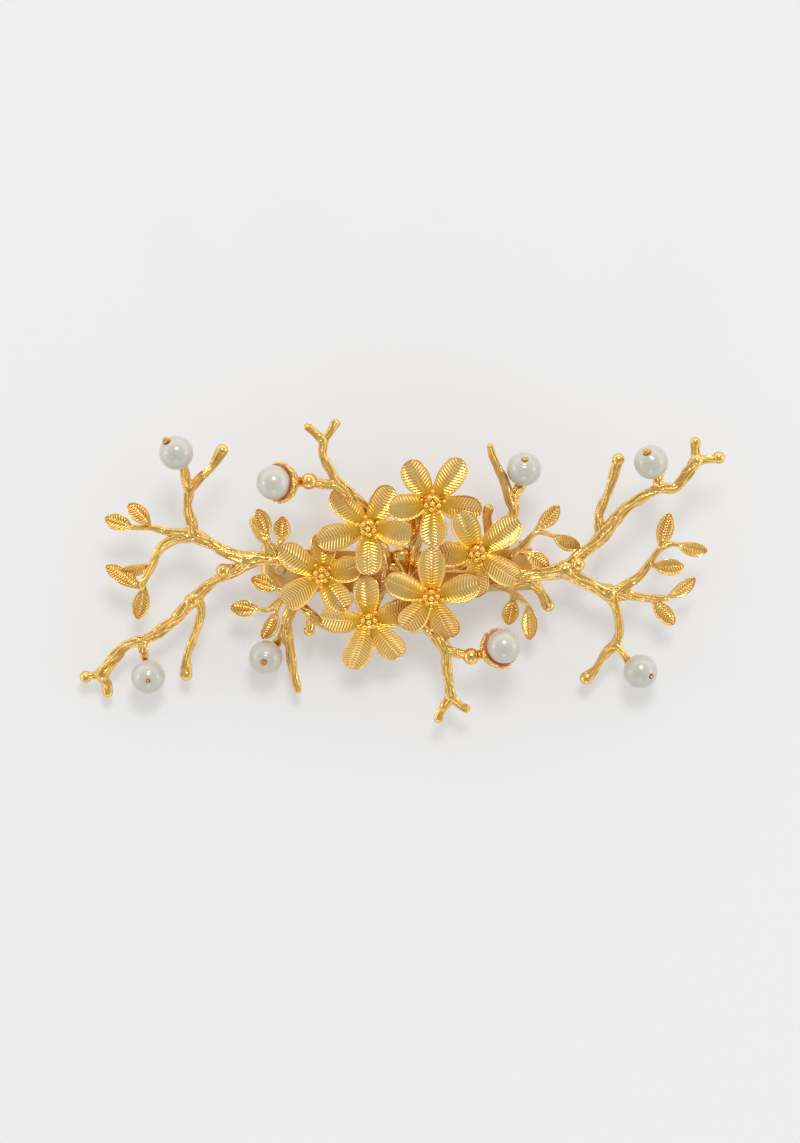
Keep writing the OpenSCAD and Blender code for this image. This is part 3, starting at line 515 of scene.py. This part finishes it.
def gold(name, bright, shade_tone, rough, bump=0.15, shade_onset=0.5, hub=None, metal=1.0):
    """Plated gold: tones mixed by noise and by painted shade that deepens the colour in hollows, uneven
    polish, a cast skin and a thin lacquer.

    With hub, painted interreflection: round the object's own origin the tone turns to that colour, a deeper
    orange standing in for light bounced between the petals.
    """
    m, n, link, shader = new_material(name)
    fill(shader, {"Metallic": metal, "Coat Weight": 0.45, "Coat Roughness": 0.12, "Coat IOR": COAT_IOR})
    where = add(n, "ShaderNodeTexCoord")
    broad = add(n, "ShaderNodeTexNoise", {"Scale": GRAIN * 0.35, "Detail": 4})
    fine = add(n, "ShaderNodeTexNoise", {"Scale": GRAIN * 3, "Detail": 3})
    link(where.outputs["Object"], broad.inputs["Vector"])
    link(where.outputs["Object"], fine.inputs["Vector"])
    # painted shade: where the occlusion node finds hollows the colour turns to the deeper, more saturated
    # shaded tone, standing in for shade and light bounced between gold surfaces; open surfaces keep the
    # paler tone
    painted_shade = add(n, "ShaderNodeAmbientOcclusion", {"Distance": PAINTED_SHADE_REACH}, samples=AO_SAMPLES)
    tone = add(n, "ShaderNodeMix", data_type="RGBA")
    depth = add(n, "ShaderNodeMapRange", {"From Min": shade_onset - 0.2, "From Max": shade_onset + 0.3})
    fill(tone, {6: (*shade_tone, 1), 7: (*bright, 1)})
    # painted interreflection: near a flower's middle the open tone turns to the hub colour
    if hub:
        reach = add(n, "ShaderNodeVectorMath", operation="LENGTH")
        near = add(n, "ShaderNodeMapRange", {"From Min": HUB_EDGE, "From Max": PETAL_TONE_START})
        hub_bounce = add(n, "ShaderNodeMix", data_type="RGBA")
        fill(hub_bounce, {6: (*hub, 1), 7: (*bright, 1)})
        link(where.outputs["Object"], reach.inputs[0])
        link(reach.outputs["Value"], near.inputs["Value"])
        link(near.outputs[0], hub_bounce.inputs[0])
        link(hub_bounce.outputs[2], tone.inputs[7])
    link(painted_shade.outputs["AO"], depth.inputs["Value"])
    link(depth.outputs[0], tone.inputs[0])
    vary = add(n, "ShaderNodeMix", data_type="RGBA", blend_type="MULTIPLY")
    fill(vary, {"Factor": 0.4})
    wash = ramp(n, (0.35, (0.84, 0.78, 0.66)), (0.65, (1, 1, 1)))
    link(broad.outputs["Fac"], wash.inputs["Fac"])
    link(tone.outputs[2], vary.inputs[6])
    link(wash.outputs[0], vary.inputs[7])
    link(vary.outputs[2], shader.inputs["Base Color"])
    polish = add(n, "ShaderNodeMapRange", {"From Min": 0.3, "From Max": 0.7})
    fill(polish, {"To Min": rough[0], "To Max": rough[1]})
    link(broad.outputs["Fac"], polish.inputs["Value"])
    link(polish.outputs[0], shader.inputs["Roughness"])
    skin = add(n, "ShaderNodeBump", {"Strength": bump, "Distance": SKIN_DEPTH})
    link(fine.outputs["Fac"], skin.inputs["Height"])
    link(skin.outputs[0], shader.inputs["Normal"])
    return m


def pearl_material():
    """Nacre: a cool and a warm ivory mixed softly, a satin body under a thin clear coat."""
    m, n, link, shader = new_material("pearl")
    fill(shader, {"Metallic": 0.05, "Coat Weight": 0.8, "Coat IOR": COAT_IOR, "Coat Roughness": 0.2})
    where = add(n, "ShaderNodeTexCoord")
    cloud = add(n, "ShaderNodeTexNoise", {"Scale": 170, "Detail": 3})
    link(where.outputs["Object"], cloud.inputs["Vector"])
    tone = ramp(n, (0.3, (0.53, 0.505, 0.43)), (0.7, (0.575, 0.56, 0.495)))
    link(cloud.outputs["Fac"], tone.inputs["Fac"])
    # painted reflection: warmer where the occlusion node finds gold close by, standing in for light bounced
    # off the gold
    painted_gold_bounce = add(n, "ShaderNodeAmbientOcclusion", {"Distance": GOLD_BOUNCE_REACH}, samples=AO_SAMPLES)
    open_air = add(n, "ShaderNodeMapRange", {"From Min": 0.35, "From Max": 0.9})
    gold_bounce_tint = add(n, "ShaderNodeMix", data_type="RGBA")
    fill(gold_bounce_tint, {6: (0.62, 0.44, 0.27, 1)})
    link(painted_gold_bounce.outputs["AO"], open_air.inputs["Value"])
    link(open_air.outputs[0], gold_bounce_tint.inputs[0])
    link(tone.outputs[0], gold_bounce_tint.inputs[7])
    link(gold_bounce_tint.outputs[2], shader.inputs["Base Color"])
    gloss = add(n, "ShaderNodeMapRange", {"To Min": 0.24, "To Max": 0.34})
    link(cloud.outputs["Fac"], gloss.inputs["Value"])
    link(gloss.outputs[0], shader.inputs["Roughness"])
    skin = add(n, "ShaderNodeBump", {"Strength": 0.04, "Distance": SKIN_DEPTH})
    link(cloud.outputs["Fac"], skin.inputs["Height"])
    link(skin.outputs[0], shader.inputs["Normal"])
    return m


# Each gold: its open tone and its painted-shade tone for hollows, then its polish and skin
CAST = gold(
    "cast_gold", (0.88, 0.565, 0.16), (0.78, 0.37, 0.018),
    rough=(0.1, 0.2), shade_onset=0.7, bump=0.35, metal=0.94,
)
LEAF = gold(
    "leaf_gold", (0.92, 0.61, 0.19), (0.68, 0.32, 0.015),
    rough=(0.14, 0.22), shade_onset=0.62, bump=0.05, metal=0.92,
)
# flower_gold's hub colour is painted interreflection round each flower's middle
FLOWER = gold(
    "flower_gold", (0.90, 0.59, 0.18), (0.66, 0.29, 0.015),
    rough=(0.15, 0.25), shade_onset=0.68, bump=0.05, metal=0.85, hub=(1.0, 0.52, 0.015),
)
PIN = gold(
    "pin_gold", (0.72, 0.38, 0.06), (0.45, 0.15, 0.01),
    rough=(0.2, 0.35), shade_onset=0.7, bump=0.4,
)
STAMEN = gold(
    "stamen_gold", (0.98, 0.64, 0.12), (0.86, 0.46, 0.05),
    rough=(0.14, 0.24), shade_onset=0.4,
)
CLIP = gold(
    "clip_gold", (0.95, 0.68, 0.26), (0.90, 0.55, 0.12),
    rough=(0.26, 0.36), bump=0.04, metal=0.75,
)
SPRING = gold(
    "spring_gold", (0.88, 0.66, 0.32), (0.5, 0.3, 0.1),
    rough=(0.2, 0.3), bump=0.06,
)
ROSE = gold(
    "cup_rose", (1.0, 0.50, 0.28), (0.95, 0.42, 0.20),
    rough=(0.42, 0.55), bump=0.1, metal=0.05,
)
PEARL = pearl_material()


def finish_piece(obj, material, slot, *nodes, body="clip"):
    """Gives a piece its material, its body and the CAD nodes that it stands for."""
    obj.data.materials.clear()
    for m in material if isinstance(material, tuple) else (material,):
        obj.data.materials.append(m)
    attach(obj, body)
    if nodes:
        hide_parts(*nodes)


# ---------------------------------------------------------------- castings


def leaf(base, tip, roll, seed):
    """A small ribbed leaf from its base to its tip."""
    base, tip = np.array(base, dtype=float), np.array(tip, dtype=float)
    run = tip - base
    length = np.linalg.norm(run)
    bend = np.random.default_rng(seed).uniform(0.15, 0.45)
    verts, faces = blade(
        length, LEAF_HALF_WIDTH, cup=0.35, thickness=0.42, pitch=LEAF_RIB_PITCH, slant=0.6,
        rib=0.28, rim=0.18, mid=0.1, plain=0.38, rows=130,
        outline=leaf_outline, spine=lambda u: bend * math.sin(math.pi * u),
    )
    yaw = math.degrees(math.atan2(run[1], run[0]))
    pitch = -math.degrees(math.asin(run[2] / length))
    turn = rotation("Z", yaw) @ rotation("Y", pitch) @ rotation("X", roll)
    return verts @ turn.T + base, faces


def casting(name, node, twigs, leaves=(), groove=0.5):
    """Twigs fused into one piece; its leaves are one more piece beside it."""
    parts = []
    for i, route in enumerate(twigs):
        thin = max(p[3] for p in route) < THIN_TWIG
        depth, ring = (0.2, 24) if thin else (groove, 40)
        parts.append(tube(route, depth, seed=31 * len(node) + i, ring=ring))
        *end, radius = route[-1]
        if radius >= 1:
            parts.append(sphere(end, radius * KNOB))
    finish_piece(fuse(name, parts, seed=len(node)), CAST, "cast_gold", node)
    if leaves:
        made = [leaf(*b, seed=17 * i + len(node)) for i, b in enumerate(leaves)]
        blades = new_object(name + "_leaves", *join_parts(made))
        finish_piece(blades, LEAF, "cast_gold")


casting("left_branch_twigs", "left_branch", LEFT_TWIGS, LEFT_LEAVES)
casting("right_branch_twigs", "right_branch", RIGHT_TWIGS, RIGHT_LEAVES)
casting("top_bud_stem", "top_bud_branch", TOP_BUD_TWIGS)
casting("bottom_bud_stem", "bottom_bud_branch", BOTTOM_BUD_TWIGS)
casting("top_twigs", "top_twig", TOP_TWIGS)
casting("bottom_twigs", "bottom_twig", BOTTOM_TWIGS)
casting("left_upper_twigs", "left_upper_sprig", LEFT_UPPER_TWIGS, LEFT_UPPER_LEAVES)
casting("left_lower_twigs", "left_lower_sprig", LEFT_LOWER_TWIGS, LEFT_LOWER_LEAVES)
casting("right_upper_twigs", "right_upper_sprig", RIGHT_UPPER_TWIGS, RIGHT_UPPER_LEAVES)
casting("right_lower_twigs", "right_lower_sprig", RIGHT_LOWER_TWIGS, RIGHT_LOWER_LEAVES)
casting("stems", "centre_stem", STEM_TWIGS, groove=0.22)

# The closed bud tapers away from its stalk as a row of smaller and smaller balls
bud_parts = [
    sphere((-0.1 + 0.1 * k, 2.95 - 0.42 * k, 13.6 - 0.04 * k), 2.05 - 0.115 * k, 14)
    for k in range(10)
]
bud_parts.append(tube([(0, 1.5, 11.8, 0.8), (0, 1.5, 12.4, 0.8), (0, 1.5, 13, 0.8)]))
bud = fuse("closed_bud", bud_parts, smooth=4, rough=0)
finish_piece(bud, CAST, "cast_gold", "centre_bud")


# ---------------------------------------------------------------- flowers

PETAL_START = 0.9  # from the flower's middle
HUB_PROFILE = ((0.001, -0.75), (1.2, -0.72), (1.85, -0.4), (1.9, 0.05), (1.5, 0.3), (0.001, 0.32))
DISC_PROFILE = ((0.001, 0.0), (1.5, 0.02), (1.75, 0.2), (1.5, 0.5), (0.7, 0.66), (0.001, 0.68))


def petal(azimuth, reach, drop, seed):
    """One petal round +Z at the origin."""
    rng = np.random.default_rng(seed)
    arch = 0.5 + rng.uniform(-0.1, 0.1)
    verts, faces = blade(
        math.hypot(reach, drop) - PETAL_START, PETAL_HALF_WIDTH * rng.uniform(0.97, 1.02),
        cup=0.7, thickness=0.5, pitch=PETAL_RIB_PITCH, slant=0.35,
        rib=0.13, rim=0.15, mid=0.06, plain=0.4, rows=150,
        outline=petal_outline,
        spine=lambda u: arch * math.sin(math.pi * u**0.9) - 0.1 + 0.35 * u**4,
    )
    verts = verts + (PETAL_START, 0, 0)
    tilt = math.degrees(math.atan2(drop, reach))
    turn = rotation("Z", azimuth) @ rotation("Y", tilt) @ rotation("X", rng.uniform(-7, 7))
    return verts @ turn.T, faces


def flower(n):
    """Five petals round a hub, with the object's origin in the flower's middle."""
    centre, petals = FLOWERS[n]
    made = [petal(*p, seed=10 * n + i) for i, p in enumerate(petals)]
    verts, faces = join_parts(made + [lathe(HUB_PROFILE, 40)])
    obj = new_object(f"flower_{n}_petals", verts, faces)
    obj.location = Vector(centre) * MM
    finish_piece(obj, FLOWER, "cast_gold", f"flower_{n}")


def stamen_cluster(n):
    """A middle bead, five round it on a disc, and five small ones on short threads."""
    centre, petals = FLOWERS[n]
    rng = np.random.default_rng(50 + n)
    first = petals[0][0]
    parts = [lathe(DISC_PROFILE, 36), sphere((0, 0, 1.3), 0.6, 10)]
    for k in range(5):
        a = math.radians(first + 72 * k + rng.uniform(-8, 8))
        bead = polar(1.32 + rng.uniform(-0.1, 0.1), a, 1.1)
        parts.append(sphere(bead, 0.58 + rng.uniform(-0.04, 0.04), 10))
        a = math.radians(first + 36 + 72 * k + rng.uniform(-6, 6))
        tip = polar(2.45 + rng.uniform(-0.15, 0.1), a, 0.62)
        parts.append(sphere(tip, 0.42, 9))
        root = polar(1.2, a, 0.3)
        middle = (0.5 * (root[0] + tip[0]), 0.5 * (root[1] + tip[1]), 0.5)
        thread = [(*root, 0.26), (*middle, 0.2), (*tip, 0.2)]
        parts.append(tube(thread, depth=0, step=0.2, ring=10))
    verts, faces = join_parts(parts)
    obj = new_object(f"stamens_{n}_beads", verts + centre, faces)
    finish_piece(obj, STAMEN, "cast_gold", f"stamens_{n}")


for number in FLOWERS:
    flower(number)
    stamen_cluster(number)

# ---------------------------------------------------------------- pearls and cups


def dimple(off, head_radius):
    """Depth of a pearl's hollow under its pin, and of a faint ring round that, off its axis."""
    hollow = 0.35 * math.exp(-((off / (head_radius + 0.05)) ** 6))
    return hollow + 0.04 * math.exp(-(((off - 1.65) / 0.14) ** 2))


def pearl(n):
    """A slightly uneven ball, hollowed where its pin comes out."""
    centre, pin = PEARLS[n]
    bm = bmesh.new()
    bmesh.ops.create_icosphere(bm, subdivisions=6, radius=PEARL_R)
    for v in bm.verts:
        c = v.co.normalized()
        wave = 0.012 * noise.noise(c * 1.5 + Vector((n, 0, 0)))
        hole = dimple(math.hypot(c.x, c.y) * PEARL_R, PINS[n][0]) if n in PINS else 0.0
        v.co = c * (PEARL_R - 0.01 + wave - hole)
    verts = np.array([v.co[:] for v in bm.verts]) @ turned_to(pin).T + centre
    faces = [tuple(v.index for v in f.verts) for f in bm.faces]
    bm.free()
    obj = new_object(f"pearl_{n}_bead", verts, faces)
    finish_piece(obj, PEARL, "pearl", f"pearl_{n}")


for number in PEARLS:
    pearl(number)

pins = []
for number, (radius, stand) in PINS.items():
    centre, pin = PEARLS[number]
    turn = turned_to(pin)
    route = [
        (0, 0, -PEARL_R - 0.3, 0.42),
        (0, 0, 0, 0.42),
        (0, 0, PEARL_R - 0.1, 0.42),
        (0, 0, PEARL_R + 0.12, 0.4),
    ]
    stem = tube(route, depth=0.04, seed=number, ring=16)
    head = sphere((0, 0, PEARL_R + stand), radius, 10, scale=(1, 0.85, 0.75))
    pins += [(verts @ turn.T + np.asarray(centre), faces) for verts, faces in (stem, head)]
pin_mesh = fuse("pearl_pin_heads", pins, voxel=0.08, rough=0.22)
finish_piece(pin_mesh, PIN, "cast_gold", "pearl_pins")


def scallop(angle, seed):
    """Height of the cup's scallops round its axis, 0 to 1."""
    return np.abs(np.cos(CUP_LOBES / 2 * angle + seed)) ** 0.6


def cup_rows(theta, angles, seed, radius, flare, taper, middle, depth):
    """Rings of a bowl at angles from its foot, -88 degrees, up to its scalloped rim."""
    wave = scallop(theta, seed)
    rows = []
    for a in angles:
        s = (a + 88) / 80
        r = (radius + flare * s * wave - taper * s) * math.cos(math.radians(a))
        z = middle + depth * math.sin(math.radians(a)) + 0.75 * s**3 * (wave - 0.55)
        rows.append(round_row(r, theta, z))
    return rows


def cup(name, node, centre, axis, seed):
    """A scalloped bud cup behind a pearl, lumpy and gold outside, smooth and rose inside."""
    segments = 96
    theta = np.arange(segments) * 2 * np.pi / segments
    outer = cup_rows(theta, np.linspace(-88, -8, 16), seed, 4.15, 0.42, 0.12, 0.8, 4.5)
    inner = cup_rows(theta, np.linspace(-10, -88, 14), seed, 3.92, 0.3, 0, 0.95, 1.35)
    verts = np.vstack(outer + inner)
    verts[:, 2] -= CUP_DROP
    faces = ring_faces(len(outer) + len(inner), segments)
    skin = np.array([noise.noise(Vector(v * 1.1) + Vector((seed, 3, 0))) for v in verts])
    reach = np.linalg.norm(verts[:, :2], axis=1)[:, None] + 0.01
    outer_count, shell_faces = len(outer) * segments, len(faces)
    outside = np.arange(len(verts)) < outer_count
    verts[:, :2] += verts[:, :2] / reach * (skin * 0.16 * outside)[:, None]
    parts = [(verts, faces)]
    rng = np.random.default_rng(int(seed * 10))
    for k in range(RIM_LUMPS):
        a = 2 * math.pi * (k + rng.uniform(-0.3, 0.3)) / RIM_LUMPS
        place = polar(4.1, a, 0.1 + 0.75 * (scallop(a, seed) - 0.55) - CUP_DROP)
        parts.append(sphere(place, rng.uniform(0.36, 0.52), 8))
    verts, faces = join_parts(parts)
    obj = new_object(name, verts @ turned_to(axis).T + centre, faces)
    finish_piece(obj, (CAST, ROSE), "cup_gold", node)
    inside = [
        int(i < shell_faces and outer_count <= min(p.vertices))
        for i, p in enumerate(obj.data.polygons)
    ]
    obj.data.polygons.foreach_set("material_index", inside)


cup("top_cup_shell", "top_bud_cup", PEARLS[2][0], (-0.68, 0.15, 0.71), 0.4)
cup("bottom_cup_shell", "bottom_bud_cup", PEARLS[6][0], (0.49, 0.43, 0.76), 1.3)

# ---------------------------------------------------------------- clip

# CAD node, body, material, its slot and the radius of its pressed edges
CLIP_PIECES = (
    ("clip_plate", "clip", CLIP, "clip_gold", 0.14),
    ("clip_arm", "arm", CLIP, "clip_gold", 0.16),
    ("tension_bar", "bar", SPRING, "spring_gold", 0.09),
    ("catch_base", "clip", CLIP, "clip_gold", 0.1),
    ("catch_tab_front", "tab_front", CLIP, "clip_gold", 0.09),
    ("catch_tab_back", "tab_back", CLIP, "clip_gold", 0.09),
    ("hinge_pin", "clip", SPRING, "spring_gold", 0.12),
    ("catch_rivet", "clip", SPRING, "spring_gold", 0.12),
)


def pressed_part(node, body, material, slot, radius):
    """The CAD part's own surfaces with flats merged and its edges rounded over."""
    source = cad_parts[node]
    bm = bmesh.new()
    bm.from_mesh(source.data)
    bm.transform(source.matrix_world)
    bmesh.ops.remove_doubles(bm, verts=bm.verts, dist=1e-7)
    flat_angle = math.radians(0.5)
    bmesh.ops.dissolve_limit(bm, angle_limit=flat_angle, verts=bm.verts, edges=bm.edges)
    mesh = bpy.data.meshes.new(node + "_pressed")
    bm.to_mesh(mesh)
    bm.free()
    obj = linked(node + "_pressed", mesh)
    bevel = obj.modifiers.new("edges", "BEVEL")
    bevel.width = radius * MM
    bevel.segments = 3
    bevel.limit_method = "ANGLE"
    bevel.angle_limit = math.radians(35)
    weight = obj.modifiers.new("normals", "WEIGHTED_NORMAL")
    weight.keep_sharp = True
    shade_smooth(mesh)
    apply_modifiers(obj)
    finish_piece(obj, material, slot, node, body=body)


for piece in CLIP_PIECES:
    pressed_part(*piece)

# ---------------------------------------------------------------- stage, light, camera

LEAN = math.radians(12)
DISTANCE = 1200
FRAME_HEIGHT = 242.9
SENSOR = 36
VIEW = Vector((0, math.sin(LEAN), math.cos(LEAN)))
UP = Vector((0, math.cos(LEAN), -math.sin(LEAN)))
AIM = Vector((-0.425, 0, 8)) - UP * 1.806
FLOOR_HALF = 3.0  # metres
FLOOR_FOOT = 0.0045  # metres, where the floor meets z = 0 below the middle
FLOOR_TONE = (0.585, 0.585, 0.588, 1)
FLOOR_GLOW = 0.255


def softbox(name, direction, distance, size, watts):
    """A square area light that faces the middle of the object, in metres."""
    light = bpy.data.lights.new(name, "AREA")
    light.energy = watts
    light.size = size
    obj = linked(name, light)
    away = Vector(direction).normalized()
    obj.location = AIM * MM + away * distance
    obj.rotation_euler = away.to_track_quat("Z", "Y").to_euler()


# The piece lies tipped on its lower edge, so the floor leans under it
floor_mesh = bpy.data.meshes.new("floor")
corners = [
    (x * FLOOR_HALF, y * FLOOR_HALF, -(y * FLOOR_HALF + FLOOR_FOOT) * math.tan(LEAN))
    for x, y in ((-1, -1), (1, -1), (1, 1), (-1, 1))
]
floor_mesh.from_pydata(corners, [], [(0, 1, 2, 3)])
floor = linked("floor", floor_mesh)
pale = bpy.data.materials.new("floor")
pale.use_nodes = True
fill(pale.node_tree.nodes["Principled BSDF"], {
    "Base Color": FLOOR_TONE,
    "Roughness": 0.9,
    "Emission Color": (1, 1, 1, 1),
    "Emission Strength": FLOOR_GLOW,
})
floor.data.materials.append(pale)

softbox("key", VIEW + UP * 0.53 + Vector((0.07, 0, 0)), 2.6, 0.68, 19)
for name, direction in (
    ("left", VIEW * 0.4 + Vector((-1, 0, 0))),
    ("right", VIEW * 0.4 + Vector((1, 0, 0))),
    ("front", VIEW * 0.5 - UP),
):
    softbox(name, direction, 1.2, 0.3, 0.8)

# A studio tent: brightest round its foot, with a dark opening for the camera
OPENING_OUTER, OPENING_INNER = math.radians(13), math.radians(8)
TENT_STRENGTH, OPENING_STRENGTH = 1.6, 0.5
world = bpy.data.worlds.new("studio")
world.use_nodes = True
wn, wl = world.node_tree.nodes, world.node_tree.links.new
direction = add(wn, "ShaderNodeTexCoord")
height = add(wn, "ShaderNodeSeparateXYZ")
tent = ramp(wn, (0, (1, 1, 1)), (1, (0.3, 0.3, 0.3)))
for place, level in ((0.2, 1.0), (0.45, 0.44), (0.75, 0.37)):
    stop = tent.color_ramp.elements.new(place)
    stop.color = (level, level, level, 1)
wl(direction.outputs["Generated"], height.inputs[0])
wl(height.outputs["Z"], tent.inputs["Fac"])
aside = add(wn, "ShaderNodeVectorMath", operation="DOT_PRODUCT")
fill(aside, {1: VIEW})
opening = add(wn, "ShaderNodeMapRange", {
    "From Min": math.cos(OPENING_OUTER),
    "From Max": math.cos(OPENING_INNER),
    "To Min": TENT_STRENGTH,
    "To Max": OPENING_STRENGTH,
})
wl(direction.outputs["Generated"], aside.inputs[0])
wl(aside.outputs["Value"], opening.inputs["Value"])
wl(tent.outputs[0], wn["Background"].inputs["Color"])
wl(opening.outputs[0], wn["Background"].inputs["Strength"])
bpy.context.scene.world = world

camera = linked("camera", bpy.data.cameras.new("camera"))
camera.data.sensor_width = SENSOR
camera.data.lens = SENSOR * DISTANCE / FRAME_HEIGHT
camera.data.clip_start = 0.01
camera.data.clip_end = 20
camera.location = (AIM + VIEW * DISTANCE) * MM
axes = Matrix(((1, 0, 0), UP, VIEW)).transposed().to_4x4()
camera.matrix_world = Matrix.Translation(camera.location) @ axes
bpy.context.scene.camera = camera
bpy.context.scene.view_settings.view_transform = "Standard"
